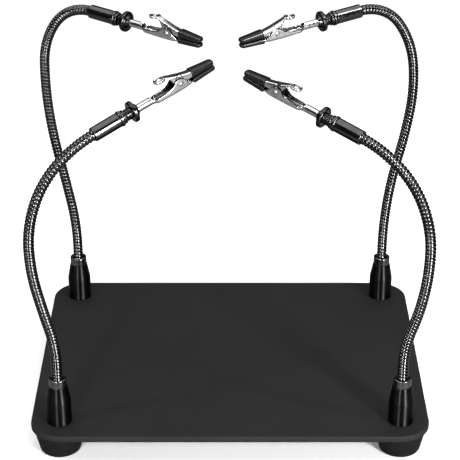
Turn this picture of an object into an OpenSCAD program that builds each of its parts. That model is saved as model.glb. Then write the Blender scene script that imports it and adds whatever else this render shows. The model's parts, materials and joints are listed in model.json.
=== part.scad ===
// Helping hands clamp: a weighted base plate on four rubber feet, with a post at each corner.
// Each post carries a flexible neck, a handle, a swivel and a spring clip with soft sleeves.
// Millimetres. X runs to the right, Y to the back, Z up. The origin is on the bench,
// under the middle of the plate.

/* [Base] */
// Width of the base plate, left to right
plate_w = 250; // [240:1:280]
// Depth of the base plate, front to back
plate_d = 200; // [190:1:240]
// Thickness of the base plate
plate_t = 4; // [3:0.5:6]
// Corner radius of the base plate
plate_r = 20; // [10:1:30]
// Distance between the left and right posts
post_span_x = 214; // [200:1:216]
// Distance between the front and back posts
post_span_y = 162; // [150:1:166]

/* [Feet] */
// Height of a rubber foot
foot_h = 16; // [12:1:24]
// Diameter of a foot where it meets the plate
foot_top_d = 32; // [28:1:36]
// Diameter of a foot at the bench
foot_bottom_d = 26; // [24:1:30]

/* [Posts] */
// Diameter of the straight lower part of a post
post_d = 15.6; // [14:0.2:18]
// Height of the straight lower part
post_straight_h = 15.5; // [12:0.5:20]
// Height of the cone above it
post_cone_h = 10.5; // [8:0.5:14]
// Diameter at the top of the cone
post_cone_d = 11.8; // [11:0.2:13]
// Height of the collar that closes the post round the neck
collar_h = 5.5; // [4:0.5:8]

/* [Necks] */
// Outside diameter of a flexible neck
neck_d = 6.9; // [6.4:0.1:7]
// Free length of a front neck, from its collar to its handle
front_neck_len = 178; // [170:1:182]
// Free length of a rear neck
rear_neck_len = 211; // [200:1:214]

/* [Handles and swivels] */
// Length of the handle sleeve
handle_len = 22.5; // [20:0.5:26]
// Diameter of the handle sleeve
handle_d = 9; // [8.4:0.2:10]
// Diameter of the round finger flange on the swivel
flange_d = 13.4; // [12:0.2:16]
// Thickness of the finger flange
flange_t = 3.2; // [2.5:0.1:4]

/* [Clips] */
// Distance from the middle of the flange to the metal tip of a jaw
clip_len = 57.5; // [55:0.5:60]
// Outside width of the clip's trough
trough_w = 7.6; // [7.4:0.1:8.4]
// Thickness of the clip's sheet metal
sheet_t = 0.6; // [0.5:0.05:0.7]
// Wall of the soft sleeves on the jaws
sleeve_t = 0.75; // [0.6:0.05:0.8]

/* [Hidden] */
$fn = 48;
ARMS = ["front_left", "front_right", "rear_left", "rear_right"];
ARM_PARTS = ["neck_lower", "neck_middle", "neck_upper", "neck_top", "handle", "swivel",
             "clip_body", "clip_lever", "rivet", "spring", "lower_sleeve", "upper_sleeve"];

// Heights from the bench
plate_z = foot_h;
plate_top = plate_z + plate_t;
cone_z = plate_top + post_straight_h;
collar_z = cone_z + post_cone_h;
collar_top = collar_z + collar_h;

// Foot, washer and screw
screw_d = 5;
screw_hole_d = 5.4;
screw_head_d = 9.4;
screw_head_h = 3.4;
washer_d = 10.4;
washer_t = 1;
foot_pocket_d = 11.4;
foot_pocket_h = 8;
foot_round = 2.4;
foot_lip = 0.8;
thread_depth = 11;
screw_in_post = 9;

// Post and collar
collar_d = 11.2;
collar_round = 0.7;
spigot_d = 9;
spigot_h = 4;
neck_socket_depth = 11;
neck_fit = 0.1;

// Necks: each is posed as six equal stretches, and each stretch bends by one angle
arm_yaw = [31, 145.5, -33, -156];
arm_bend = [[15, -2.5, -11, -22, -28, -22.5],
            [19, -9, -10.5, -24, -29, -22],
            [14, 2, -8.5, -9.5, -37, -54],
            [8, 8, -6.5, -16.5, -29.5, -60]];
stretches = 6;
stub_len = 8;
neck_in_handle = 10;
// The four moving pieces of a neck: their first and last stretches
piece_first = [0, 1, 3, 5];
piece_last = [0, 2, 4, 5];
// Cross knuckles between the pieces: they turn sideways, then in the arm's plane, and again
knuckle_sideways = [true, false, true, false];
knuckle_r = 2.2;
knuckle_w = 4.6;
knuckle_play = 0.1;
bend_limit = 31;
// Groove between two windings, and the diameter of the core inside it
rib_gap = 0.3;
core_d = neck_d - 0.4;
relief = neck_d / 2 * tan(bend_limit) + 0.2;

// Handle
bead_d = handle_d + 0.8;
bead_len = 2;
groove_d = handle_d - 1.6;
groove_len = 1;
bead_x = handle_len - bead_len - groove_len - 1;
handle_round = 0.8;
spindle_bore_depth = 9;

// Swivel: its origin is the middle of the flange
flange_gap = 4;
clip_origin = handle_len + flange_gap + flange_t / 2;
spindle_d = 4;
spindle_len = 8;
spindle_play = 0.06;
swivel_neck_d = 6.4;
ring_d = 7.4;
ring_t = 0.9;
swivel_clear = 0.3;
boss_d = 8;
boss_len = 1.6;

// Clip: x runs from the middle of the flange to the tip, z is up towards the lever
barrel_d = 5;
barrel_end = 14;
barrel_start = -1;
pivot = [33.5, 1.6];
pin_d = 2;
pin_play = 0.05;
pin_head_d = 3.2;
pin_head_t = 0.5;
ear_r = 3.4;
lever_ear_r = 3;
side_clear = 0.3;
lever_w = trough_w - 2 * sheet_t - 2 * side_clear;
jaw_start = 41.5;
jaw_tip_w = 4.2;
jaw_root_w = 5.6;
lower_jaw_top = -0.6;
upper_jaw_bottom = 1.2;
sleeve_start = 42.4;
tooth_pitch = 1.6;
teeth = 7;
tooth_h = 0.5;
// Edge of the lower jaw's side walls, where its teeth stand
lower_jaw_edge = lower_jaw_top - tooth_h;
pad_x = 22.4;
pad_z = 9.7;
pad_r = 3.8;
pad_hole_d = 2;
wire_d = 0.6;
coil_r = 1.7;
coil_turns = 5;

function stretch_len(a) = ((a < 2 ? front_neck_len : rear_neck_len) - stub_len) / stretches;
function arc_radius(len, bend) = len * 180 / (PI * bend);

// Where stretch k of an arm starts: [distance from the post, height, heading above level]
function neck_pose(a, k) =
    k == 0 ? [0, collar_top + stub_len, 90] : next_pose(neck_pose(a, k - 1), a, k - 1);
function next_pose(p, a, k) =
    let (r = arc_radius(stretch_len(a), arm_bend[a][k]), h = p[2] + arm_bend[a][k])
    [p[0] + r * (sin(h) - sin(p[2])), p[1] - r * (cos(h) - cos(p[2])), h];

function post_xy(a) = [(a % 2 == 0 ? -1 : 1) * post_span_x / 2, (a < 2 ? -1 : 1) * post_span_y / 2];

module at_each_post() {
    for (a = [0 : 3])
        translate(post_xy(a)) children();
}

module at_arm(a) {
    translate(post_xy(a)) rotate([0, 0, arm_yaw[a]]) children();
}

module on_neck(a, k) {
    p = neck_pose(a, k);
    at_arm(a) translate([p[0], 0, p[1]]) rotate([0, -p[2], 0]) children();
}

module on_clip(a) {
    on_neck(a, stretches) translate([clip_origin, 0, 0]) children();
}

module along_x(x0, len, d1, d2) {
    translate([x0, 0, 0]) rotate([0, 90, 0]) cylinder(h = len, d1 = d1, d2 = d2);
}

// A round bar that starts at the origin along +x and bends by an angle over its length
module arc_bar(len, bend, r) {
    radius = abs(arc_radius(len, bend));
    mirror([0, 0, bend < 0 ? 1 : 0])
        translate([0, 0, radius]) rotate([90, 90, 0])
            rotate_extrude(angle = abs(bend), $fn = 96)
                translate([radius, 0]) circle(r = r, $fn = 32);
}

module cross_cylinder(sideways, r, w) {
    rotate([sideways ? 0 : 90, 0, 0]) cylinder(h = w, r = r, center = true);
}

// The end of a neck piece: a cone that leaves room to bend, and a knuckle at the origin
module knuckle_end(j) {
    along_x(-relief - rib_gap, rib_gap, core_d, core_d);
    along_x(-relief, relief - 0.2, core_d, 2);
    cross_cylinder(knuckle_sideways[j], knuckle_r, knuckle_w);
}

module knuckle_socket(j) {
    cross_cylinder(knuckle_sideways[j], knuckle_r + knuckle_play, 2 * neck_d);
}

// ---- Base ----

module rounded_plate(w, d, r) {
    square([w - 2 * r, d], center = true);
    square([w, d - 2 * r], center = true);
    for (x = [-1, 1], y = [-1, 1])
        translate([x * (w / 2 - r), y * (d / 2 - r)]) circle(r = r);
}

module base_plate() {
    color("#333333")
        translate([0, 0, plate_z])
            difference() {
                linear_extrude(plate_t) rounded_plate(plate_w, plate_d, plate_r);
                at_each_post()
                    translate([0, 0, -1]) cylinder(h = plate_t + 2, d = screw_hole_d);
            }
}

module rubber_feet() {
    top_r = foot_top_d / 2;
    bottom_r = foot_bottom_d / 2;
    rounding = [for (t = [-90 : 15 : -15])
        [bottom_r - foot_round + foot_round * cos(t), foot_round + foot_round * sin(t)]];
    color("#1b1b1b")
        at_each_post()
            difference() {
                rotate_extrude()
                    polygon(concat([[0, 0]], rounding,
                                   [[top_r, foot_h - foot_lip], [top_r, foot_h], [0, foot_h]]));
                translate([0, 0, -1]) cylinder(h = foot_pocket_h + 1, d = foot_pocket_d);
                cylinder(h = foot_h + 1, d = screw_hole_d);
            }
}

module foot_washers() {
    color("silver")
        at_each_post()
            translate([0, 0, foot_pocket_h - washer_t])
                difference() {
                    cylinder(h = washer_t, d = washer_d);
                    translate([0, 0, -1]) cylinder(h = washer_t + 2, d = screw_hole_d);
                }
}

module foot_screws() {
    head_z = foot_pocket_h - washer_t - screw_head_h;
    color("gray")
        at_each_post()
            translate([0, 0, head_z])
                difference() {
                    union() {
                        cylinder(h = screw_head_h, d = screw_head_d);
                        cylinder(h = plate_top + screw_in_post - head_z, d = screw_d - 0.1);
                    }
                    // Hexagon socket
                    translate([0, 0, -1]) cylinder(h = 3, d = 4.6, $fn = 6);
                }
}

// ---- Posts ----

module posts() {
    color("#111111")
        at_each_post()
            difference() {
                union() {
                    translate([0, 0, plate_top]) cylinder(h = post_straight_h, d = post_d);
                    translate([0, 0, cone_z])
                        cylinder(h = post_cone_h, d1 = post_d, d2 = post_cone_d);
                }
                translate([0, 0, plate_top - 1]) cylinder(h = thread_depth + 1, d = screw_d);
                translate([0, 0, collar_z - spigot_h - 0.2]) cylinder(h = 10, d = spigot_d + 0.1);
                translate([0, 0, collar_z - neck_socket_depth])
                    cylinder(h = 20, d = neck_d + neck_fit);
            }
}

module post_collars() {
    r = collar_d / 2;
    color("#555555")
        at_each_post()
            difference() {
                union() {
                    translate([0, 0, collar_z - spigot_h]) cylinder(h = spigot_h, d = spigot_d);
                    translate([0, 0, collar_z])
                        cylinder(h = collar_h - collar_round, d = collar_d);
                    translate([0, 0, collar_top - collar_round])
                        cylinder(h = collar_round, r1 = r, r2 = r - collar_round);
                }
                translate([0, 0, collar_z - spigot_h - 1])
                    cylinder(h = 20, d = neck_d + neck_fit);
                // Recess round the neck
                translate([0, 0, collar_top - 0.8]) cylinder(h = 1, d1 = neck_d, d2 = neck_d + 1.6);
            }
}

// ---- Necks ----

module neck_roots() {
    z = collar_z - neck_socket_depth;
    color("#2a2a2a")
        for (a = [0 : 3]) {
            translate(concat(post_xy(a), [z]))
                cylinder(h = collar_top + stub_len - relief - z, d = neck_d);
            on_neck(a, 0) knuckle_end(0);
        }
}

module neck_piece(a, s) {
    first = piece_first[s];
    last = piece_last[s];
    len = stretch_len(a);
    top = s == 3;
    color("#2a2a2a")
        difference() {
            union() {
                for (k = [first : last]) {
                    share = (len - (k == last && !top ? relief : rib_gap)) / len;
                    on_neck(a, k) arc_bar(len * share, arm_bend[a][k] * share, neck_d / 2);
                    if (k > first) on_neck(a, k) along_x(-2 * rib_gap, 3 * rib_gap, core_d, core_d);
                }
                if (top) {
                    on_neck(a, stretches)
                        along_x(-2 * rib_gap, neck_in_handle + 2 * rib_gap, core_d, core_d);
                } else {
                    on_neck(a, last + 1) knuckle_end(s + 1);
                }
            }
            on_neck(a, first) knuckle_socket(s);
        }
}

// ---- Handle and swivel ----

module handle(a) {
    r = handle_d / 2;
    color("#0d0d0d")
        on_neck(a, stretches)
            difference() {
                union() {
                    along_x(0, handle_round, 2 * (r - handle_round), 2 * r);
                    along_x(handle_round, bead_x - handle_round, 2 * r, 2 * r);
                    along_x(bead_x, bead_len, bead_d, bead_d);
                    along_x(bead_x + bead_len, groove_len, groove_d, groove_d);
                    along_x(handle_len - 1, 1, handle_d, handle_d - 1);
                }
                along_x(-1, neck_in_handle + 1, core_d, core_d);
                along_x(handle_len - spindle_bore_depth, spindle_bore_depth + 1,
                        spindle_d + 2 * spindle_play, spindle_d + 2 * spindle_play);
            }
}

module swivel(a) {
    back = -flange_t / 2 - flange_gap;
    half = flange_t / 2;
    edge = 0.6;
    color("#161616")
        on_clip(a)
            difference() {
                union() {
                    along_x(back - spindle_len, spindle_len + 1, spindle_d, spindle_d);
                    along_x(back + swivel_clear, flange_gap, swivel_neck_d, swivel_neck_d);
                    for (i = [0 : 1])
                        along_x(back + 0.9 + 1.5 * i, ring_t, ring_d, ring_d);
                    along_x(-half, edge, flange_d - 2 * edge, flange_d);
                    along_x(-half + edge, flange_t - 2 * edge, flange_d, flange_d);
                    along_x(half - edge, edge, flange_d, flange_d - 2 * edge);
                    along_x(half, boss_len, boss_d + 1, boss_d - 1);
                }
                along_x(barrel_start, 10, barrel_d, barrel_d);
            }
}

// ---- Clip ----

// A channel of sheet metal: a side outline and a plan outline, cut to their common shape
module side_and_plan(side, plan) {
    intersection() {
        rotate([90, 0, 0]) linear_extrude(20, center = true) polygon(side);
        translate([0, 0, -20]) linear_extrude(60) polygon(plan);
    }
}

// Plan outline that is symmetric about the clip's axis, from [x, half width] pairs
function both_sides(half) = concat(half, [for (i = [len(half) - 1 : -1 : 0]) [half[i][0], -half[i][1]]]);

body_half = [[barrel_end - 2, barrel_d / 2], [22, trough_w / 2], [38, trough_w / 2],
             [jaw_start, jaw_root_w / 2], [clip_len, jaw_tip_w / 2]];
body_side = [[barrel_end - 2, -2.5], [30, -2.9], [40, -2.8], [clip_len, -2.2],
             [clip_len, lower_jaw_edge], [jaw_start, lower_jaw_edge], [39.4, 0], [37.6, 2],
             [30, 4.4], [28.4, 2.2], [25, 0.9], [18, 0.3], [barrel_end - 1, 1], [barrel_end - 2, 2.5]];

lever_half = [[pad_x, 2.4], [26.5, lever_w / 2], [jaw_start, lever_w / 2 - 0.1],
              [clip_len, jaw_tip_w / 2]];
lever_side = [[clip_len, upper_jaw_bottom], [clip_len, 2.8], [jaw_start, 4.7], [35, 6.3],
              [28.4, 8.5], [25.2, 10], [pad_x, 10], [pad_x, 9.4], [25, 9.3], [28, 7.6], [29, 5.6],
              [30.6, 2.6], [pivot[0], pivot[1] - 1], [38, upper_jaw_bottom]];

function inset(half) = [for (p = half) [p[0], p[1] - sheet_t]];
function shifted(outline, dx, dz) = [for (p = outline) [p[0] + dx, p[1] + dz]];

module at_pivot() {
    translate([pivot[0], 0, pivot[1]]) rotate([90, 0, 0]) children();
}

module clip_body(a) {
    color("#c8c8cc")
        on_clip(a)
            difference() {
                union() {
                    along_x(barrel_start, barrel_end - barrel_start, barrel_d, barrel_d);
                    side_and_plan(body_side, both_sides(body_half));
                    at_pivot() cylinder(h = trough_w, r = ear_r, center = true);
                    for (i = [0 : teeth - 1], y = [-1, 1])
                        jaw_tooth(clip_len - 1.2 - i * tooth_pitch, y);
                }
                // Inside of the rolled barrel
                along_x(barrel_start - 1, barrel_end + 4, barrel_d - 1.4, barrel_d - 1.4);
                // Inside of the trough and the jaw
                side_and_plan(shifted([[barrel_end - 1, -2.5], [30, -2.9], [40, -2.8], [clip_len + 1, -2.2],
                                       [clip_len + 1, 9], [barrel_end - 1, 9]], 0, sheet_t),
                              both_sides(inset([[barrel_end - 1, barrel_d / 2], [22, trough_w / 2],
                                                [38, trough_w / 2], [jaw_start, jaw_root_w / 2],
                                                [clip_len + 1, jaw_tip_w / 2]])));
                at_pivot() cylinder(h = 20, d = pin_d, center = true);
            }
}

// One saw tooth on the edge of the lower jaw's side wall
module jaw_tooth(x, y) {
    half_w = jaw_tip_w / 2 + (clip_len - x) / (clip_len - jaw_start) * (jaw_root_w - jaw_tip_w) / 2;
    translate([0, y * (half_w - sheet_t / 2), lower_jaw_edge - 0.05])
        rotate([90, 0, 0])
            linear_extrude(sheet_t * 0.8, center = true)
                polygon([[x - tooth_pitch * 0.4, 0], [x + tooth_pitch * 0.4, 0], [x, tooth_h]]);
}

module clip_lever(a) {
    color("#d0d0d4")
        on_clip(a)
            difference() {
                union() {
                    side_and_plan(lever_side, both_sides(lever_half));
                    at_pivot() cylinder(h = lever_w, r = lever_ear_r, center = true);
                    // Round thumb pad, curled down at its far edge
                    translate([pad_x, 0, pad_z - 0.4]) cylinder(h = 0.7, r = pad_r);
                    intersection() {
                        translate([pad_x, 0, pad_z - 2]) cylinder(h = 2, r = pad_r);
                        translate([pad_x - pad_r - 1, -pad_r, pad_z - 2]) cube([2.2, 2 * pad_r, 2]);
                    }
                }
                // Inside of the channel, open at the bottom and at the tail
                side_and_plan([[clip_len + 1, -4], [clip_len + 1, 2.2], [jaw_start, 4.1], [35, 5.7],
                               [28.4, 7.9], [27, 8.2], [25, 6], [25, -4]],
                              both_sides(inset([[24, lever_w / 2], [26.5, lever_w / 2],
                                                [jaw_start, lever_w / 2 - 0.1],
                                                [clip_len + 1, jaw_tip_w / 2]])));
                translate([pad_x, 0, 0]) cylinder(h = 20, d = pad_hole_d);
                at_pivot() cylinder(h = 20, d = pin_d + 2 * pin_play, center = true);
            }
}

module rivet(a) {
    color("#b0b0b4")
        on_clip(a)
            at_pivot() {
                cylinder(h = trough_w, d = pin_d, center = true);
                for (side = [-1, 1])
                    translate([0, 0, side * (trough_w + pin_head_t) / 2])
                        cylinder(h = pin_head_t, d = pin_head_d, center = true);
            }
}

// A bar of spring wire between two points of the clip's side view
module wire_leg(from, to, y) {
    d = to - from;
    translate([from[0], y, from[1]]) rotate([0, 90 - atan2(d[1], d[0]), 0])
        cylinder(h = norm(d), d = wire_d, $fn = 24);
}

module spring(a) {
    offset_y = (coil_turns - 1) / 2 * wire_d;
    color("#909090")
        on_clip(a) {
            at_pivot()
                rotate_extrude()
                    for (i = [0 : coil_turns - 1])
                        translate([coil_r, i * wire_d * 0.96 - offset_y * 0.96])
                            circle(d = wire_d, $fn = 24);
            wire_leg([pivot[0], pivot[1] - coil_r], [24, -1.7], -offset_y);
            wire_leg([pivot[0] - 1.2, pivot[1] + 1.2], [27.6, 6.8], offset_y);
        }
}

// A soft sleeve over one jaw: from its start to past the metal tip
module jaw_sleeve(bottom_root, bottom_tip, top_root, top_tip, root_w) {
    t = sleeve_t;
    end = clip_len + 1.2;
    difference() {
        side_and_plan([[sleeve_start, bottom_root - t], [end - 1, bottom_tip - t], [end, bottom_tip + 0.2],
                       [end, top_tip - 0.2], [end - 1, top_tip + t], [sleeve_start, top_root + t]],
                      both_sides([[sleeve_start, root_w / 2 + t], [end - 1.6, jaw_tip_w / 2 + t],
                                  [end - 0.5, jaw_tip_w / 2], [end, jaw_tip_w / 2 - 0.8]]));
        side_and_plan([[jaw_start, bottom_root], [clip_len, bottom_tip],
                       [clip_len, top_tip], [jaw_start, top_root]],
                      both_sides([[jaw_start, root_w / 2], [clip_len, jaw_tip_w / 2]]));
    }
}

module lower_sleeve(a) {
    color("#101010")
        on_clip(a) jaw_sleeve(-2.8, -2.2, lower_jaw_top, lower_jaw_top, jaw_root_w);
}

module upper_sleeve(a) {
    color("#101010")
        on_clip(a) jaw_sleeve(upper_jaw_bottom, upper_jaw_bottom, 4.7, 2.8, jaw_root_w);
}

// ---- The nodes ----

base_plate();
rubber_feet();
foot_washers();
foot_screws();
posts();
post_collars();
neck_roots();
for (a = [0 : 3]) {
    neck_piece(a, 0);
    neck_piece(a, 1);
    neck_piece(a, 2);
    neck_piece(a, 3);
    handle(a);
    swivel(a);
    clip_body(a);
    clip_lever(a);
    rivet(a);
    spring(a);
    lower_sleeve(a);
    upper_sleeve(a);
}
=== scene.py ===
import json
from math import acos, ceil, cos, pi, radians, sin, tan

import bmesh
import bpy
from mathutils import Matrix, Vector


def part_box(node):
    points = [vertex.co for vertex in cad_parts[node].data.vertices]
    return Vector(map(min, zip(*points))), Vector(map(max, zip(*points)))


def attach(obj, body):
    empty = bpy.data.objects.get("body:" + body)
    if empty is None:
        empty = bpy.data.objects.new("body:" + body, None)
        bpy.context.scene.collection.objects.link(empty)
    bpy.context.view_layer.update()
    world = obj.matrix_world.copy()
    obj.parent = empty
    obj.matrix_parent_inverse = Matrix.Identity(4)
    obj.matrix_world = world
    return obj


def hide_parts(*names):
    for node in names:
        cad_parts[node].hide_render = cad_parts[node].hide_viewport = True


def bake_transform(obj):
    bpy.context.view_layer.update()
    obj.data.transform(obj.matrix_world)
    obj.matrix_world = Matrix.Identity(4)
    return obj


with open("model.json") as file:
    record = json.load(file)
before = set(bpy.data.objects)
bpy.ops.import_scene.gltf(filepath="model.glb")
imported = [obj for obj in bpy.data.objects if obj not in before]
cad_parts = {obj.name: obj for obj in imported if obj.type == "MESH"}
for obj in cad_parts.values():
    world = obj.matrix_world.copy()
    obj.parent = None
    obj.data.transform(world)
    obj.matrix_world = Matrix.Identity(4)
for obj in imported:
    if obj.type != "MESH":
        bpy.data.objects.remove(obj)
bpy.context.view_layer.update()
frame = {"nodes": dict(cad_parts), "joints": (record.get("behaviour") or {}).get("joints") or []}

# Helping hands clamp. Lengths below are millimetres and become metres through MM.
MM = 0.001
ARMS = ["front_left", "front_right", "rear_left", "rear_right"]
JOINTS = {j["name"]: j for j in frame["joints"]}
Z = Vector((0, 0, 1))

# Base
PLATE_R = 20
PLATE_EDGE = 0.7
PLATE_HOLE_D = 5.4
FOOT_TOP_D, FOOT_BOTTOM_D = 32, 26
FOOT_POCKET_D, FOOT_POCKET_H = 11.4, 8

# Posts
POST_D, POST_STRAIGHT_H, POST_CONE_H, POST_CONE_D = 15.6, 15.5, 10.5, 11.8
COLLAR_D, COLLAR_H = 11.2, 5.5
SPIGOT_D, SPIGOT_H = 9, 4
THREAD_D = 5

# Necks: six equal stretches, each bending by one angle, as the part's own solids do
NECK_D = 6.9
NECK_LEN = {"front": 178, "rear": 211}
STUB_LEN = 8
NECK_IN_POST = 11
NECK_IN_HANDLE = 8
STRETCHES = 6
ARM_BEND = {"front_left": [15, -2.5, -11, -22, -28, -22.5],
            "front_right": [19, -9, -10.5, -24, -29, -22],
            "rear_left": [14, 2, -8.5, -9.5, -37, -54],
            "rear_right": [8, 8, -6.5, -16.5, -29.5, -60]}
WINDING_PITCH = 2.35
# Across one winding: [share of the pitch, depth below the neck's radius]
WINDING = [[0, 0.5], [0.06, 0.3], [0.14, 0.16], [0.24, 0.06], [0.4, 0], [0.56, 0.06],
           [0.66, 0.16], [0.74, 0.3], [0.8, 0.5], [0.9, 0.4]]
NECK_SIDES = 28

# Handle and swivel; the swivel's origin is the middle of its flange
HANDLE_LEN, HANDLE_D = 22.5, 9
CLIP_ORIGIN = 28.1
FLANGE_D, FLANGE_T = 13.4, 3.2

# Clip: x runs from the middle of the flange to the tip, z is up towards the lever
BARREL_R = 2.5
BARREL_START, BARREL_END = -1, 12.5
PIVOT_X, PIVOT_Z = 33.5, 1.6
SHEET_T = 0.6
TROUGH_HALF_W = 3.8
JAW_START, JAW_END = 41.5, 57.5
JAW_ROOT_HALF_W, JAW_TIP_HALF_W = 2.8, 2.1
PAD_X, PAD_Z, PAD_R, PAD_HOLE_R = 22.4, 10, 3.8, 1
SLEEVE_START, SLEEVE_END = 42.4, 58.6
SLEEVE_T = 0.75
WIRE_R, COIL_R, COIL_TURNS = 0.3, 1.7, 5

# Gaps round the pieces that slide into or turn in one another
PRESS_GAP = 0.05
SPINDLE_R, SPINDLE_GAP = 2, 0.06

# Studio: places in metres, lens and sensor in millimetres. The camera looks to +y, tipped down.
CAMERA_LENS, SENSOR_W = 131.48, 36
CAMERA_AT = (0, -0.969, 0.6025)
CAMERA_PITCH = 63.2
LIGHT_TARGET = (0, 0, 0.1)
SHEET_HALF = 9
FLOOR_SHADE, CARD_SHADE = 0.86, 0.24
WORLD_STRENGTH = 0.07

scene = bpy.context.scene


# ---- Small mesh tools ----

def smoothstep(low, high, x):
    t = min(1, max(0, (x - low) / (high - low)))
    return t * t * (3 - 2 * t)


def mix(a, b, share):
    return a + (b - a) * share


def curve_through(points, x):
    """Height at x of a smooth cubic curve through [x, height] points, level beyond both ends."""
    if x <= points[0][0]:
        return points[0][1]
    for i in range(len(points) - 1):
        (x0, y0), (x1, y1) = points[i], points[i + 1]
        if x > x1:
            continue
        before = points[max(0, i - 1)]
        after = points[min(len(points) - 1, i + 2)]
        m0 = (y1 - before[1]) / (x1 - before[0])
        m1 = (after[1] - y0) / (after[0] - x0)
        h = x1 - x0
        t = (x - x0) / h
        return ((2 * t**3 - 3 * t**2 + 1) * y0 + (t**3 - 2 * t**2 + t) * h * m0
                + (3 * t**2 - 2 * t**3) * y1 + (t**3 - t**2) * h * m1)
    return points[-1][1]


def rounded(corners, closed=False, steps=5):
    """Outline through [a, b, fillet radius] corners, with a point just beside each arc's ends."""
    points = []
    count = len(corners)
    for i, (a, b, fillet) in enumerate(corners):
        here = Vector((a, b))
        if fillet == 0 or (not closed and i in (0, count - 1)):
            points.append(here)
            continue
        back = Vector(corners[i - 1][:2]) - here
        ahead = Vector(corners[(i + 1) % count][:2]) - here
        u, v = back.normalized(), ahead.normalized()
        half = acos(max(-1, min(1, u.dot(v)))) / 2
        cut = min(fillet / tan(half), 0.46 * back.length, 0.46 * ahead.length)
        radius = cut * tan(half)
        centre = here + (u + v).normalized() * (radius / sin(half))
        first, last = here + u * cut - centre, here + v * cut - centre
        margin = 0.03 * min(back.length, ahead.length)
        points.append(here + u * (cut + margin))
        for k in range(steps + 1):
            turn = sin(k / steps * (pi - 2 * half)) / sin(pi - 2 * half)
            rest = sin((1 - k / steps) * (pi - 2 * half)) / sin(pi - 2 * half)
            points.append(centre + first * rest + last * turn)
        points.append(here + v * (cut + margin))
    return points


def piece(name, verts, faces, material, matrix=Matrix.Identity(4), sharp=38):
    """A mesh object from points in metres, welded, facing outward, smooth but for sharp edges."""
    mesh = bpy.data.meshes.new(name)
    bm = bmesh.new()
    made = [bm.verts.new(v) for v in verts]
    for f in faces:
        corners = [made[i] for n, i in enumerate(f) if i != f[n - 1]]
        if len(set(corners)) > 2:
            bm.faces.new(corners)
    bmesh.ops.remove_doubles(bm, verts=bm.verts, dist=1e-7)
    bmesh.ops.dissolve_degenerate(bm, dist=1e-7, edges=bm.edges)
    bmesh.ops.recalc_face_normals(bm, faces=bm.faces)
    smooth_but_sharp(bm, sharp)
    bm.to_mesh(mesh)
    bm.free()
    mesh.materials.append(material)
    obj = bpy.data.objects.new(name, mesh)
    scene.collection.objects.link(obj)
    obj.matrix_world = matrix
    return obj


def smooth_but_sharp(bm, sharp):
    for f in bm.faces:
        f.smooth = True
    for e in bm.edges:
        if len(e.link_faces) == 2 and e.calc_face_angle() > radians(sharp):
            e.smooth = False


def lathe(outline, axis="X", sides=48, closed=False):
    """Points and faces of an outline of (along, radius) turned about an axis through the origin."""
    verts, faces, rings = [], [], []
    for along, r in outline:
        start = len(verts)
        if r < 1e-6:
            verts.append(place(axis, along, 0, 0))
            rings.append([start] * sides)
            continue
        for k in range(sides):
            a = 2 * pi * k / sides
            verts.append(place(axis, along, r * cos(a), r * sin(a)))
        rings.append([start + k for k in range(sides)])
    pairs = list(zip(rings, rings[1:]))
    if closed:
        pairs.append((rings[-1], rings[0]))
    for low, high in pairs:
        for k in range(sides):
            n = (k + 1) % sides
            faces.append([low[k], low[n], high[n], high[k]])
    return verts, faces


def place(axis, along, u, v):
    point = (along, u, v) if axis == "X" else (u, v, along)
    return Vector(point) * MM


def loft(sections, closed_ends=True):
    """Points and faces between closed sections that all have the same number of points."""
    count = len(sections[0])
    verts = [p for s in sections for p in s]
    faces = []
    for i in range(len(sections) - 1):
        for k in range(count):
            n = (k + 1) % count
            a, b = i * count, (i + 1) * count
            faces.append([a + k, a + n, b + n, b + k])
    if closed_ends:
        for start in (0, (len(sections) - 1) * count):
            # The outer and the inner half of a sheet's section run side by side
            for k in range(count // 2 - 1):
                other = count - 1 - k
                faces.append([start + k, start + k + 1, start + other - 1, start + other])
    return verts, faces


def cut_by(obj, *cutters, operation="DIFFERENCE"):
    """Applies one exact boolean for each cutter, then removes the cutters."""
    for cutter in cutters:
        mod = obj.modifiers.new("cut", "BOOLEAN")
        mod.object = cutter
        mod.operation = operation
        mod.solver = "EXACT"
        bpy.context.view_layer.update()
        evaluated = obj.evaluated_get(bpy.context.evaluated_depsgraph_get())
        made = bpy.data.meshes.new_from_object(evaluated)
        obj.modifiers.clear()
        obj.data = made
        bpy.data.objects.remove(cutter)
    bm = bmesh.new()
    bm.from_mesh(obj.data)
    bmesh.ops.dissolve_degenerate(bm, dist=1e-6, edges=bm.edges)
    smooth_but_sharp(bm, 38)
    bm.to_mesh(obj.data)
    bm.free()


def tube(path, r, sides=12):
    """A round wire along a list of points, with closed ends."""
    rings = []
    normal = None
    for i, p in enumerate(path):
        t = (path[min(i + 1, len(path) - 1)] - path[max(i - 1, 0)]).normalized()
        if normal is None:
            normal = t.orthogonal().normalized()
        normal = (normal - t * normal.dot(t)).normalized()
        side = t.cross(normal)
        rings.append([(p + (normal * cos(2 * pi * k / sides) + side * sin(2 * pi * k / sides)) * r)
                      * MM for k in range(sides)])
    verts, faces = loft(rings, closed_ends=False)
    last = len(verts) - sides
    faces.append(list(range(sides)))
    faces.append([last + k for k in range(sides)])
    return verts, faces


# ---- Where things are ----

def joint_at(arm, joint):
    return Vector(JOINTS[f"{arm}_{joint}"]["pos_m"])


def joint_axis(arm, joint):
    return Vector(JOINTS[f"{arm}_{joint}"]["axis"]).normalized()


def clip_frame(arm):
    """Origin in the middle of the flange, x along the clip, z towards the lever."""
    along = joint_axis(arm, "clip_swivel")
    sideways = -joint_axis(arm, "lever_squeeze")
    up = along.cross(sideways).normalized()
    m = Matrix((along, up.cross(along), up)).transposed().to_4x4()
    m.translation = joint_at(arm, "clip_swivel")
    return m


def hand_frame(arm):
    return clip_frame(arm) @ Matrix.Translation((-CLIP_ORIGIN * MM, 0, 0))


def post_frame(arm, z=0):
    at = joint_at(arm, "base_sway")
    return Matrix.Translation((at.x, at.y, z))


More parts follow.
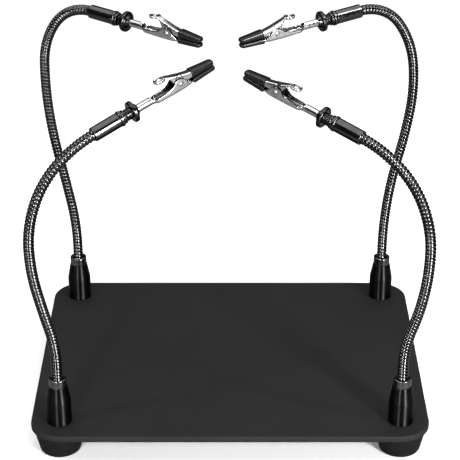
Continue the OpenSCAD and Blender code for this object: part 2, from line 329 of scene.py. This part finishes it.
PLATE_LOW, PLATE_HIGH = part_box("base_plate")
PLATE_TOP = PLATE_HIGH.z / MM
FOOT_H = PLATE_LOW.z / MM
COLLAR_Z = PLATE_TOP + POST_STRAIGHT_H + POST_CONE_H
COLLAR_TOP = COLLAR_Z + COLLAR_H


# ---- Materials ----

class Finish:
    """A Principled material with helpers for its noise, colour and bump."""

    def __init__(self, name, color, roughness, metallic=0.0, **sockets):
        self.material = bpy.data.materials.new(name)
        self.material.use_nodes = True
        self.tree = self.material.node_tree
        self.bsdf = self.tree.nodes["Principled BSDF"]
        self.set("Base Color", (*color, 1))
        self.set("Roughness", roughness)
        self.set("Metallic", metallic)
        for key, value in sockets.items():
            self.set(key.replace("_", " "), value)
        self.coords = self.node("ShaderNodeTexCoord").outputs["Object"]
        self.normal = None

    def set(self, socket, value):
        self.bsdf.inputs[socket].default_value = value

    def node(self, kind, **settings):
        n = self.tree.nodes.new(kind)
        for key, value in settings.items():
            setattr(n, key, value)
        return n

    def link(self, a, b):
        self.tree.links.new(a, b)

    def stretched(self, scale):
        """Object coordinates scaled along each axis."""
        n = self.node("ShaderNodeMapping")
        n.inputs["Scale"].default_value = scale
        self.link(self.coords, n.inputs["Vector"])
        return n.outputs["Vector"]

    def noise(self, size_mm, detail=3.0, stretch=(1, 1, 1), roughness=0.55):
        n = self.node("ShaderNodeTexNoise")
        n.inputs["Scale"].default_value = 1 / (size_mm * MM)
        n.inputs["Detail"].default_value = detail
        n.inputs["Roughness"].default_value = roughness
        self.link(self.stretched(stretch), n.inputs["Vector"])
        return n.outputs["Fac"]

    def remap(self, value, low, high, start=0.3, end=0.7):
        n = self.node("ShaderNodeMapRange")
        n.inputs["From Min"].default_value = start
        n.inputs["From Max"].default_value = end
        n.inputs["To Min"].default_value = low
        n.inputs["To Max"].default_value = high
        self.link(value, n.inputs["Value"])
        return n.outputs["Result"]

    def vary_roughness(self, value, low, high):
        self.link(self.remap(value, low, high), self.bsdf.inputs["Roughness"])

    def vary_color(self, value, dark, light, start=0.3, end=0.7):
        n = self.node("ShaderNodeMix", data_type="RGBA")
        a = [s for s in n.inputs if s.name == "A" and s.type == "RGBA"][0]
        b = [s for s in n.inputs if s.name == "B" and s.type == "RGBA"][0]
        a.default_value = (*dark, 1)
        b.default_value = (*light, 1)
        self.link(self.remap(value, 0, 1, start, end), n.inputs["Factor"])
        out = [s for s in n.outputs if s.type == "RGBA"][0]
        self.link(out, self.bsdf.inputs["Base Color"])

    def bump(self, value, height_mm, strength=1.0):
        n = self.node("ShaderNodeBump")
        n.inputs["Distance"].default_value = height_mm * MM
        n.inputs["Strength"].default_value = strength
        self.link(value, n.inputs["Height"])
        if self.normal is not None:
            self.link(self.normal, n.inputs["Normal"])
        self.normal = n.outputs["Normal"]
        self.link(self.normal, self.bsdf.inputs["Normal"])

    def turned(self, axis, amount):
        """Highlights spread along the axis, as on a part turned in a lathe."""
        t = self.node("ShaderNodeTangent", direction_type="RADIAL", axis=axis)
        self.link(t.outputs["Tangent"], self.bsdf.inputs["Tangent"])
        self.set("Anisotropic", amount)
        self.set("Anisotropic Rotation", 0.25)


def plate_paint():
    f = Finish("plate_paint", (0.0145, 0.0145, 0.0147), 0.62, Specular_IOR_Level=0.16)
    f.vary_color(f.noise(60, 2), (0.0138, 0.0138, 0.014), (0.0154, 0.0154, 0.0156))
    f.vary_roughness(f.noise(9, 4), 0.6, 0.64)
    f.bump(f.noise(0.9, 2), 0.05, 0.5)
    f.bump(f.noise(0.22, 3), 0.02, 0.6)
    return f.material


def foot_rubber():
    f = Finish("foot_rubber", (0.005, 0.005, 0.005), 0.6, Specular_IOR_Level=0.2)
    f.vary_color(f.noise(5, 4), (0.004, 0.004, 0.004), (0.007, 0.007, 0.007))
    f.vary_roughness(f.noise(3, 3), 0.52, 0.68)
    f.bump(f.noise(0.5, 4), 0.03, 0.7)
    return f.material


def steel_hardware():
    f = Finish("steel_hardware", (0.5, 0.5, 0.49), 0.3, 1.0)
    f.vary_color(f.noise(2.5, 4), (0.36, 0.36, 0.35), (0.56, 0.56, 0.55))
    f.vary_roughness(f.noise(1.2, 4), 0.22, 0.38)
    f.bump(f.noise(0.4, 3, (1, 1, 6)), 0.01, 0.6)
    return f.material


def post_black():
    f = Finish("post_black", (0.024, 0.024, 0.0245), 0.42, 1.0)
    f.turned("Z", 0.95)
    f.vary_color(f.noise(7, 3), (0.02, 0.02, 0.0205), (0.028, 0.028, 0.0285))
    f.vary_roughness(f.noise(2, 4, (0.4, 0.4, 6)), 0.38, 0.46)
    f.bump(f.noise(1.2, 2, (0.05, 0.05, 9)), 0.006, 0.5)
    return f.material


def collar_metal():
    f = Finish("collar_metal", (0.15, 0.15, 0.155), 0.24, 1.0)
    f.turned("Z", 0.6)
    f.vary_color(f.noise(3, 3), (0.13, 0.13, 0.135), (0.18, 0.18, 0.185))
    f.vary_roughness(f.noise(1.2, 4, (0.4, 0.4, 8)), 0.18, 0.3)
    f.bump(f.noise(0.8, 2, (0.05, 0.05, 9)), 0.008, 0.6)
    return f.material


def neck_nickel():
    f = Finish("neck_nickel", (0.085, 0.085, 0.087), 0.13, 1.0)
    f.vary_color(f.noise(6, 4), (0.07, 0.07, 0.072), (0.105, 0.105, 0.107))
    f.vary_roughness(f.noise(1.5, 4), 0.1, 0.17)
    f.bump(f.noise(0.5, 3), 0.006, 0.6)
    return f.material


def handle_black():
    f = Finish("handle_black", (0.09, 0.09, 0.091), 0.14, 1.0)
    f.vary_color(f.noise(5, 3), (0.08, 0.08, 0.081), (0.102, 0.102, 0.103))
    f.vary_roughness(f.noise(2.5, 4), 0.11, 0.19)
    f.bump(f.noise(0.7, 2, (6, 0.3, 0.3)), 0.003, 0.5)
    return f.material


def swivel_black():
    f = Finish("swivel_black", (0.05, 0.05, 0.051), 0.2, 1.0)
    f.turned("X", 0.4)
    f.vary_color(f.noise(3, 3), (0.042, 0.042, 0.043), (0.06, 0.06, 0.061))
    f.vary_roughness(f.noise(1, 4), 0.16, 0.26)
    f.bump(f.noise(0.6, 2, (8, 0.3, 0.3)), 0.004, 0.5)
    return f.material


def clip_chrome():
    f = Finish("clip_chrome", (0.54, 0.54, 0.545), 0.15, 1.0)
    f.vary_color(f.noise(2.2, 5), (0.4, 0.4, 0.405), (0.6, 0.6, 0.605))
    f.vary_roughness(f.noise(1.4, 5), 0.1, 0.2)
    f.bump(f.noise(3.5, 2), 0.05, 0.4)
    f.bump(f.noise(0.25, 3), 0.004, 0.5)
    return f.material


def spring_steel():
    f = Finish("spring_steel", (0.3, 0.295, 0.29), 0.24, 1.0)
    f.vary_color(f.noise(1.2, 3), (0.22, 0.215, 0.21), (0.36, 0.355, 0.35))
    f.vary_roughness(f.noise(0.6, 3), 0.18, 0.32)
    f.bump(f.noise(0.15, 2), 0.004, 0.5)
    return f.material


def sleeve_vinyl():
    f = Finish("sleeve_vinyl", (0.006, 0.006, 0.006), 0.24, Specular_IOR_Level=0.35)
    f.vary_color(f.noise(3, 3), (0.005, 0.005, 0.005), (0.009, 0.009, 0.009))
    f.vary_roughness(f.noise(1.2, 4), 0.18, 0.32)
    f.bump(f.noise(2.2, 2), 0.04, 0.4)
    f.bump(f.noise(0.3, 3), 0.006, 0.5)
    return f.material


FINISHES = {"plate_paint": plate_paint(), "foot_rubber": foot_rubber(),
            "steel_hardware": steel_hardware(), "post_black": post_black(),
            "collar_metal": collar_metal(), "neck_nickel": neck_nickel(),
            "handle_black": handle_black(), "swivel_black": swivel_black(),
            "clip_chrome": clip_chrome(), "spring_steel": spring_steel(),
            "sleeve_vinyl": sleeve_vinyl()}


def made_of(slot, name, shape, matrix=Matrix.Identity(4)):
    obj = piece(name, *shape, FINISHES[slot], matrix)
    return obj


# ---- Base ----

def base_plate():
    """A rounded rectangle with a rolled edge, and a hole under each post."""
    size = PLATE_HIGH - PLATE_LOW
    half_x, half_y = size.x / MM / 2, size.y / MM / 2
    # Edge outline: [inset from the plate's outline, height]
    edge = [[2.5, FOOT_H], [PLATE_EDGE + 0.1, FOOT_H]]
    for k in range(6):
        a = radians(90 - 18 * k)
        edge.append([PLATE_EDGE * (1 - cos(a)), FOOT_H + PLATE_EDGE * (1 - sin(a))])
    edge += [[i, PLATE_TOP + FOOT_H - z] for i, z in reversed(edge)]
    loops = []
    for inset, z in edge:
        r = PLATE_R - inset
        loop = []
        for quarter in range(4):
            cx = (half_x - PLATE_R) * (1, -1, -1, 1)[quarter]
            cy = (half_y - PLATE_R) * (1, 1, -1, -1)[quarter]
            for k in range(13):
                a = radians(90 * quarter + 7.5 * k)
                loop.append(Vector((cx + r * cos(a), cy + r * sin(a), z)) * MM)
        loops.append(loop)
    verts, faces = loft(loops, closed_ends=False)
    count = len(loops[0])
    faces += [list(range(count)), [len(verts) - count + k for k in range(count)]]
    plate = made_of("plate_paint", "painted_base_plate", (verts, faces))
    cutters = []
    for arm in ARMS:
        hole = rounded([[FOOT_H - 1, 0, 0], [FOOT_H - 1, PLATE_HOLE_D / 2, 0],
                        [PLATE_TOP + 1, PLATE_HOLE_D / 2, 0], [PLATE_TOP + 1, 0, 0]])
        cutters.append(piece("hole", *lathe(hole, "Z", 32), FINISHES["plate_paint"],
                             post_frame(arm)))
    cut_by(plate, *cutters)
    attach(plate, "base")
    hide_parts("base_plate")


def foot_outline():
    top, bottom = FOOT_TOP_D / 2, FOOT_BOTTOM_D / 2
    pocket, hole = FOOT_POCKET_D / 2, PLATE_HOLE_D / 2
    return rounded([[0, pocket, 0.5], [0, bottom - 0.4, 2.6], [FOOT_H - 1.6, top, 0.5],
                    [FOOT_H, top, 0.5], [FOOT_H, hole, 0.2], [FOOT_POCKET_H, hole, 0.2],
                    [FOOT_POCKET_H, pocket, 0.4]], closed=True)


def post_outline():
    r, top = POST_D / 2, POST_CONE_D / 2
    z0, z1, z2 = PLATE_TOP, PLATE_TOP + POST_STRAIGHT_H, COLLAR_Z
    bore = SPIGOT_D / 2 + PRESS_GAP
    return rounded([[z0, THREAD_D / 2, 0.3], [z0, r, 0.4], [z1, r, 0.5], [z2, top, 0.45],
                    [z2, bore, 0.15], [z2 - SPIGOT_H - 0.2, bore, 0.1],
                    [z2 - SPIGOT_H - 0.2, NECK_D / 2, 0], [z2 - NECK_IN_POST, NECK_D / 2, 0],
                    [z2 - NECK_IN_POST, THREAD_D / 2, 0]], closed=True)


def collar_outline():
    r, z0, z1 = COLLAR_D / 2, COLLAR_Z, COLLAR_TOP
    bore = NECK_D / 2 + PRESS_GAP
    return rounded([[z0 - SPIGOT_H, bore, 0], [z0 - SPIGOT_H, SPIGOT_D / 2, 0.2],
                    [z0, SPIGOT_D / 2, 0], [z0, r, 0.25], [z1, r, 0.75],
                    [z1, bore + 1, 0.25], [z1 - 0.8, bore, 0.1]], closed=True)


def feet_posts_and_collars():
    for arm in ARMS:
        parts = [("foot_rubber", "foot", foot_outline(), "rubber_feet", 72),
                 ("post_black", "post", post_outline(), "posts", 72),
                 ("collar_metal", "post_collar", collar_outline(), "post_collars", 64)]
        for slot, name, outline, node, sides in parts:
            shape = lathe(outline, "Z", sides, closed=True)
            obj = made_of(slot, f"{arm}_{name}", shape, post_frame(arm))
            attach(obj, "base")
            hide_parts(node)
    for node in ("foot_washers", "foot_screws"):
        keep_node(node, "steel_hardware")


def keep_node(node, slot):
    """A CAD node whose shape is right stays, with a better material."""
    obj = frame["nodes"][node]
    obj.data.materials.clear()
    obj.data.materials.append(FINISHES[slot])


# ---- Necks ----

def stretch_len(arm):
    return (NECK_LEN[arm.split("_")[0]] - STUB_LEN) / STRETCHES


def neck_point(arm, s):
    """Point of a neck in metres, s above the collar's top, and its three directions there."""
    sideways = joint_axis(arm, "low_bend")
    outward = Vector((sideways.y, -sideways.x, 0))
    length = stretch_len(arm)
    start = joint_at(arm, "base_sway")
    reach, height, heading = 0, start.z / MM, 90
    left = s - STUB_LEN
    for bend in ARM_BEND[arm] if left > 0 else []:
        step = min(left, length)
        radius = length / radians(bend)
        turned = heading + bend * step / length
        reach += radius * (sin(radians(turned)) - sin(radians(heading)))
        height -= radius * (cos(radians(turned)) - cos(radians(heading)))
        heading = turned
        left -= step
        if left <= 0:
            break
    along = outward * cos(radians(heading)) + Z * sin(radians(heading))
    point = Vector((start.x, start.y, 0)) + outward * (reach * MM) + Z * (height * MM)
    point += along * (left * MM)
    return point, along, sideways.cross(-along).normalized(), sideways


def neck_skin(arm, first_row, last_row):
    """Windings between two rows. A row climbs a pitch in a turn, so they are one helix."""
    n, m = len(WINDING), NECK_SIDES
    verts, faces, index = [], [], {}

    def corner(i, j):
        if (i, j) not in index:
            share, depth = WINDING[i % n]
            s = (i // n + share + j / m) * WINDING_PITCH - NECK_IN_POST
            point, along, out, side = neck_point(arm, s)
            a = 2 * pi * j / m
            index[i, j] = len(verts)
            verts.append(point + (out * cos(a) + side * sin(a)) * ((NECK_D / 2 - depth) * MM))
        return index[i, j]

    for i in range(first_row, last_row):
        for j in range(m):
            lower, upper = corner(i, j), corner(i + 1, j)
            if j < m - 1:
                faces.append([lower, corner(i, j + 1), corner(i + 1, j + 1), upper])
            else:
                faces.append([lower, corner(i + n, 0), corner(i + n + 1, 0), upper])
    return verts, faces


def neck(arm):
    """Four skins, one for each joint of the neck, that meet where the neck doesn't turn."""
    length = stretch_len(arm)
    n = len(WINDING)
    names = ["root", "lower", "middle", "top"]
    nodes = [["neck_roots", f"{arm}_neck_lower"], [f"{arm}_neck_middle"],
             [f"{arm}_neck_upper"], [f"{arm}_neck_top"]]
    pivots = [STUB_LEN + length * k for k in (0, 1, 3, 5)]
    # A distance along the neck to each side of each joint's pivot
    reach = [STUB_LEN - 1.5, 0.4 * length, 0.75 * length, 0.8 * length]
    ends = [STUB_LEN + length * k for k in (0.5, 2, 4)]
    ends.append(STUB_LEN + length * STRETCHES + NECK_IN_HANDLE)
    row = 0
    for k in range(4):
        last = n * round((ends[k] + NECK_IN_POST) / WINDING_PITCH)
        skin = made_of("neck_nickel", f"{arm}_gooseneck_{names[k]}", neck_skin(arm, row, last))
        row = last
        start = neck_point(arm, pivots[k] - reach[k])[0]
        end = neck_point(arm, pivots[k] + reach[k])[0]
        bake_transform(skin)
        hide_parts(*nodes[k])


# ---- Handle and swivel ----

def handle_outline():
    r = HANDLE_D / 2
    bead = r + 0.4
    end = HANDLE_LEN
    bore, spindle = NECK_D / 2 - 0.15, SPINDLE_R + SPINDLE_GAP
    return rounded([[0, bore + 0.2, 0.2], [0, r, 1.1], [end - 4.6, r, 0.3],
                    [end - 4.3, r - 0.45, 0.15], [end - 4, bead, 0.8],
                    [end - 2, bead, 0.8], [end - 1.9, r - 0.8, 0.3],
                    [end - 1.1, r - 0.8, 0.3], [end - 1, r, 0.3], [end, r - 0.4, 0.4],
                    [end, spindle, 0.15], [end - 9, spindle, 0], [end - 9, bore, 0]], closed=True)


def swivel_outline():
    """Spindle, two rings, dished finger flange and boss, from the handle to the clip."""
    half = FLANGE_T / 2
    back = -half - 4
    r = FLANGE_D / 2
    return rounded([[back - 8, 0, 0], [back - 8, SPINDLE_R, 0.4],
                    [back + 0.3, SPINDLE_R, 0], [back + 0.3, 3.2, 0.2], [back + 0.8, 3.2, 0.1],
                    [back + 0.9, 3.7, 0.4], [back + 1.8, 3.7, 0.4],
                    [back + 1.9, 3.2, 0.1], [back + 2.3, 3.2, 0.1], [back + 2.4, 3.7, 0.4],
                    [back + 3.3, 3.7, 0.4], [back + 3.4, 3.2, 0.1], [-half + 0.4, 3.4, 0.3],
                    [-half, r - 1.6, 0.8], [-half + 0.3, r, 1], [half - 0.3, r, 1],
                    [half, r - 1.4, 0.7], [half - 0.3, 4.9, 0.3], [half, 4.5, 0.2],
                    [half + 1.6, 3.5, 0.5], [half + 1.6, BARREL_R, 0], [half - 1, BARREL_R, 0],
                    [-1, BARREL_R, 0], [-1, 0, 0]])


def hand(arm):
    handle = made_of("handle_black", f"{arm}_grip", lathe(handle_outline(), "X", 56, closed=True),
                     hand_frame(arm))
    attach(handle, f"{arm}_hand")
    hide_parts(f"{arm}_handle")
    swivel = made_of("swivel_black", f"{arm}_finger_wheel", lathe(swivel_outline(), "X", 64),
                     clip_frame(arm))
    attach(swivel, f"{arm}_clip")
    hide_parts(f"{arm}_swivel")


# ---- Clip ----

def channel(half_w, bottom, top, corner, count=26):
    """Outer line of a channel open at the top, from one rim to the other, as (y, z)."""
    corner = min(corner, half_w * 0.98, (top - bottom) * 0.9)
    wall = top - bottom - corner
    arc = corner * pi / 2
    flat = half_w - corner
    total = wall + arc + flat
    points = []
    for k in range(count + 1):
        s = (2 * k / count - 1) * total
        side, s = (1 if s > 0 else -1), abs(s)
        if s <= flat:
            y, z = s, bottom
        elif s <= flat + arc:
            a = (s - flat) / corner
            y, z = flat + corner * sin(a), bottom + corner * (1 - cos(a))
        else:
            y, z = half_w, bottom + corner + s - flat - arc
        points.append(Vector((side * y, z)))
    return points


def thick(line, thickness):
    """A closed section: the line and its copy one thickness further in, with eased rims."""
    inner = []
    for k, p in enumerate(line):
        t = (line[min(k + 1, len(line) - 1)] - line[max(k - 1, 0)]).normalized()
        inner.append(p + Vector((-t.y, t.x)) * thickness)
    ease = 0.16 * thickness
    outer = [p.copy() for p in line]
    for rim, neighbour in ((0, 1), (-1, -2)):
        inward = (line[neighbour] - line[rim]).normalized() * ease
        across = (inner[rim] - outer[rim]).normalized() * ease
        outer[rim] += across * 0.6
        outer[neighbour] = outer[neighbour].lerp(line[rim] + inward, 0.8)
        inner[rim] -= across * 0.6
        inner[neighbour] = inner[neighbour].lerp(inner[rim] + inward + across * 0.6, 0.8)
    return outer + inner[::-1]


# Lines of the two sheets along the clip: [x, height or half width]
BODY_RIM = [[13, 0.9], [14.5, 0.45], [17, 0.25], [22, 0.45], [25.5, 1.0], [28, 2.0],
            [30, 3.6], [31.4, 4.5], [33.5, 5.0], [35.6, 4.5], [36.9, 3.2], [38, 1.7],
            [39.6, 0.1], [41.5, -1.1], [57.6, -1.1]]
BODY_BOTTOM = [[13, -2.5], [20, -2.7], [30, -2.9], [40, -2.8], [57.6, -2.2]]
BODY_HALF_W = [[13, 2.5], [13.8, 2.55], [16.2, 3.55], [17.6, 3.8], [37.5, 3.8], [41.5, 2.8],
               [57.6, 2.1]]
TOOTH_PITCH, TOOTH_H = 1.6, 0.42


def tooth(x):
    """Height of the saw teeth on a jaw's rims at x."""
    if x < JAW_START + 3:
        return 0
    share = (x / TOOTH_PITCH) % 1
    return TOOTH_H * (1 - abs(2 * share - 1))


def barrel_line(opening, count=26):
    """Rolled barrel seen from its end: a circle with a gap at the top, opening by an angle."""
    points = []
    for k in range(count + 1):
        a = (2 * k / count - 1) * radians(180 - opening)
        points.append(Vector((BARREL_R * sin(a), -BARREL_R * cos(a))))
    return points


def body_section(x):
    opening = mix(7, 82, smoothstep(BARREL_END - 0.6, 14.6, x))
    to_trough = smoothstep(13, 16.4, x)
    rim = curve_through(BODY_RIM, x) + tooth(x)
    trough = channel(curve_through(BODY_HALF_W, x), curve_through(BODY_BOTTOM, x), rim, 1.3)
    rolled = barrel_line(opening)
    line = [a.lerp(b, to_trough) for a, b in zip(rolled, trough)]
    return [Vector((x, p.x, p.y)) * MM for p in thick(line, SHEET_T)]


def stations(first, last, step):
    count = ceil((last - first) / step)
    return [first + (last - first) * k / count for k in range(count + 1)]


def clip_body_shape():
    xs = (stations(BARREL_START, 11, 2.4)[:-1] + stations(11, 42, 0.5)[:-1]
          + stations(42, JAW_END, TOOTH_PITCH / 4))
    return loft([body_section(x) for x in xs])


LEVER_TOP = [[24, 10.02], [25.4, 9.86], [27, 9.2], [29, 8.3], [35, 6.3], [41.5, 4.7], [57.6, 2.8]]
LEVER_RIM = [[24, 9.15], [25.2, 9.0], [27, 8.35], [28.2, 7.0], [29.2, 5.0], [30.4, 2.2],
             [31.4, -0.2], [33, -1.35], [34.5, -1.2], [36.4, 0.2], [38, 1.1], [40, 1.2],
             [57.6, 1.2]]
LEVER_HALF = [[24, 2.3], [25.4, 2.2], [28.5, 2.75], [31, 2.9], [41.5, 2.8], [57.6, 2.1]]


def lever_section(x):
    top, rim = curve_through(LEVER_TOP, x), curve_through(LEVER_RIM, x) - tooth(x)
    line = channel(curve_through(LEVER_HALF, x), -top, -rim, 0.9)
    return [Vector((x, p.x, -p.y)) * MM for p in thick(line, SHEET_T)]


def pad_outline():
    """Dished round thumb pad with a hole and an edge that curls down."""
    r, h = PAD_R, PAD_HOLE_R
    return rounded([[PAD_Z - 0.62, h, 0.15], [PAD_Z - 0.05, h, 0.2], [PAD_Z - 0.3, 2.1, 0.8],
                    [PAD_Z + 0.04, r - 0.5, 0.5], [PAD_Z - 0.25, r, 0.35],
                    [PAD_Z - 1.5, r - 0.1, 0.25], [PAD_Z - 1.5, r - 0.65, 0.25],
                    [PAD_Z - 0.7, r - 0.75, 0.4], [PAD_Z - 0.9, 2.1, 0.8]],
                   closed=True)


def clip_lever_mesh():
    """Channel, jaw and thumb pad as one closed sheet-metal shell, in the clip's own frame."""
    xs = stations(24, 42, 0.45)[:-1] + stations(42, JAW_END, TOOTH_PITCH / 4)
    lever = piece("lever_shell", *loft([lever_section(x) for x in xs]), FINISHES["clip_chrome"])
    pad = piece("pad", *lathe(pad_outline(), "Z", 48, closed=True), FINISHES["clip_chrome"],
                Matrix.Translation((PAD_X * MM, 0, 0)))
    cut_by(lever, pad, operation="UNION")
    mesh = lever.data
    bpy.data.objects.remove(lever)
    return mesh


def rivet_shape():
    """A pin with two domed heads, along y through the pivot."""
    half = TROUGH_HALF_W
    side = [[-half - 0.62, 0, 0], [-half - 0.55, 0.9, 0.5], [-half - 0.1, 1.6, 0.25],
            [-half, 1.6, 0.05], [-half, 1, 0]]
    outline = rounded(side + [[-a, r, f] for a, r, f in reversed(side)])
    verts, faces = lathe(outline, "X", 32)
    pivot = Vector((PIVOT_X, 0, PIVOT_Z)) * MM
    turn = Matrix.Rotation(radians(90), 3, "Z")
    return [pivot + turn @ v for v in verts], faces


def spring_shape():
    """A torsion spring round the rivet: one leg under the lever, one on the trough's floor."""
    span = COIL_TURNS * 2 * WIRE_R * 1.04
    upper, lower = Vector((27.6, 6.8)), Vector((24, -1.7))
    start, end = 130, -90 - 360 * COIL_TURNS
    turns = []
    steps = 28 * COIL_TURNS
    for k in range(steps + 1):
        a = radians(mix(start, end, k / steps))
        turns.append(Vector((PIVOT_X + COIL_R * cos(a), span * (0.5 - k / steps),
                             PIVOT_Z + COIL_R * sin(a))))

    def leg_point(coil_end, foot, share):
        """A leg stays in the plane of the turn it comes from."""
        return Vector((mix(coil_end.x, foot.x, share), coil_end.y,
                       mix(coil_end.z, foot.y, share)))

    leg_in = [leg_point(turns[0], upper, 1 - k / 6) for k in range(6)]
    leg_out = [leg_point(turns[-1], lower, k / 6) for k in range(1, 7)]
    return tube(leg_in + turns + leg_out, WIRE_R, 10)


def sleeve_section(x, half_w, low, high, grow):
    """A soft rounded rectangle round a jaw, grown outward; its corners follow a superellipse."""
    points = []
    mid, half_h = (low + high) / 2, (high - low) / 2
    for k in range(40):
        a = 2 * pi * k / 40
        c, s = cos(a), sin(a)
        y = (half_w + grow) * abs(c) ** 0.5 * (1 if c > 0 else -1)
        z = (half_h + grow) * abs(s) ** 0.5 * (1 if s > 0 else -1)
        points.append(Vector((x, y, mid + z)) * MM)
    return points


def sleeve_shape(low_line, high_line):
    """A sock over one jaw: rolled lip at its root, round nose past the metal tip."""
    def section(x, grow, shrink=1.0, push=0.0):
        half_w = curve_through([[JAW_START, JAW_ROOT_HALF_W], [JAW_END, JAW_TIP_HALF_W]], x)
        low, high = curve_through(low_line, x), curve_through(high_line, x)
        ring = sleeve_section(x + push, half_w, low, high, grow)
        centre = sum(ring, Vector()) / len(ring)
        return [centre + (p - centre) * shrink for p in ring]

    nose = 2.6
    straight = SLEEVE_END - nose
    rings = [section(SLEEVE_START + 3, -0.15), section(SLEEVE_START + 2, 0.02)]
    for k in range(7):
        a = radians(-90 + 30 * k)
        rings.append(section(SLEEVE_START + 0.42 - 0.42 * cos(a),
                             SLEEVE_T / 2 + (SLEEVE_T / 2 + 0.04) * sin(a)))
    rings.append(section(SLEEVE_START + 1.4, SLEEVE_T - 0.02))
    for x in stations(SLEEVE_START + 2.4, straight, 1.8):
        rings.append(section(x, SLEEVE_T))
    for k in range(1, 10):
        a = radians(9.6 * k)
        rings.append(section(straight, SLEEVE_T, cos(a) ** 0.7, nose * sin(a)))
    verts, faces = loft(rings, closed_ends=False)
    count = len(rings[0])
    last = len(verts) - count
    faces += [list(range(count)), [last + k for k in range(count)]]
    return verts, faces


# Underside and top of each jaw, as the sleeves wrap them
UPPER_JAW = [[[JAW_START, 1.2], [JAW_END, 1.2]], [[JAW_START, 4.7], [JAW_END, 2.8]]]
LOWER_JAW = [[[JAW_START, -2.8], [JAW_END, -2.2]], [[JAW_START, -0.6], [JAW_END, -0.6]]]


def clips():
    lever_mesh = clip_lever_mesh()
    lever_mesh.name = "lever_shell"
    for arm in ARMS:
        at = clip_frame(arm)
        lower_sleeve, upper_sleeve = sleeve_shape(*LOWER_JAW), sleeve_shape(*UPPER_JAW)
        rides = [("clip_chrome", "alligator_body", clip_body_shape(), "clip", "clip_body"),
                 ("steel_hardware", "hinge_rivet", rivet_shape(), "clip", "rivet"),
                 ("sleeve_vinyl", "lower_jaw_sleeve", lower_sleeve, "clip", "lower_sleeve"),
                 ("sleeve_vinyl", "upper_jaw_sleeve", upper_sleeve, "jaw", "upper_sleeve")]
        for slot, name, shape, body, node in rides:
            obj = made_of(slot, f"{arm}_{name}", shape, at)
            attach(obj, f"{arm}_{body}")
            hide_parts(f"{arm}_{node}")
        lever = bpy.data.objects.new(f"{arm}_alligator_lever", lever_mesh.copy())
        scene.collection.objects.link(lever)
        lever.matrix_world = at
        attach(lever, f"{arm}_jaw")
        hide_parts(f"{arm}_clip_lever")
        spring = made_of("spring_steel", f"{arm}_torsion_spring", spring_shape(), at)
        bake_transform(spring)
        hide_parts(f"{arm}_spring")


# ---- Studio ----

def camera():
    data = bpy.data.cameras.new("camera")
    data.lens, data.sensor_width = CAMERA_LENS, SENSOR_W
    data.clip_start, data.clip_end = 0.05, 30
    obj = bpy.data.objects.new("camera", data)
    scene.collection.objects.link(obj)
    obj.location = CAMERA_AT
    obj.rotation_euler = (radians(CAMERA_PITCH), 0, 0)
    scene.camera = obj


def softbox(name, azimuth, elevation, distance, width, height, radiance):
    """An area light that faces the object. Azimuth 0 is in front, and positive is to the right."""
    a, e = radians(azimuth), radians(elevation)
    direction = Vector((sin(a) * cos(e), -cos(a) * cos(e), sin(e)))
    data = bpy.data.lights.new(name, "AREA")
    data.shape = "RECTANGLE"
    data.size, data.size_y = width, height
    data.energy = radiance * pi * width * height
    obj = bpy.data.objects.new(name, data)
    scene.collection.objects.link(obj)
    obj.location = Vector(LIGHT_TARGET) + direction * distance
    obj.rotation_euler = direction.to_track_quat("Z", "Y").to_euler()


def studio():
    # The pale floor is lit and seen, but glossy parts mirror the grey card just under it
    for name, shade, z in (("floor", FLOOR_SHADE, 0), ("grey_card", CARD_SHADE, -2 * MM)):
        verts = [Vector((x * SHEET_HALF, y * SHEET_HALF, z))
                 for x, y in ((-1, -1), (1, -1), (1, 1), (-1, 1))]
        f = Finish(f"studio_{name}", (shade, shade, shade), 0.8, Specular_IOR_Level=0.1)
        f.vary_color(f.noise(900, 2), (shade - 0.01,) * 3, (shade + 0.01,) * 3)
        sheet = piece(name, verts, [[0, 1, 2, 3]], f.material)
        sheet.visible_glossy = name == "grey_card"
        sheet.visible_shadow = False
    world = bpy.data.worlds.new("studio")
    world.use_nodes = True
    background = world.node_tree.nodes["Background"]
    background.inputs["Color"].default_value = (1, 1, 1, 1)
    background.inputs["Strength"].default_value = WORLD_STRENGTH
    scene.world = world
    softbox("overhead", 180, 80, 1.9, 3.2, 2.8, 1.65)
    softbox("right_strip", 35, 14, 1.25, 0.22, 0.6, 62)
    softbox("left_strip", -18, 14, 1.25, 0.1, 0.6, 62)
    softbox("right_top", 65, 55, 1.25, 0.07, 0.6, 28)
    softbox("left_top", -65, 55, 1.25, 0.07, 0.6, 28)
    scene.view_settings.view_transform = "Standard"
    scene.view_settings.look = "Medium High Contrast"


camera()
base_plate()
feet_posts_and_collars()
for arm in ARMS:
    neck(arm)
    hand(arm)
clips()
studio()
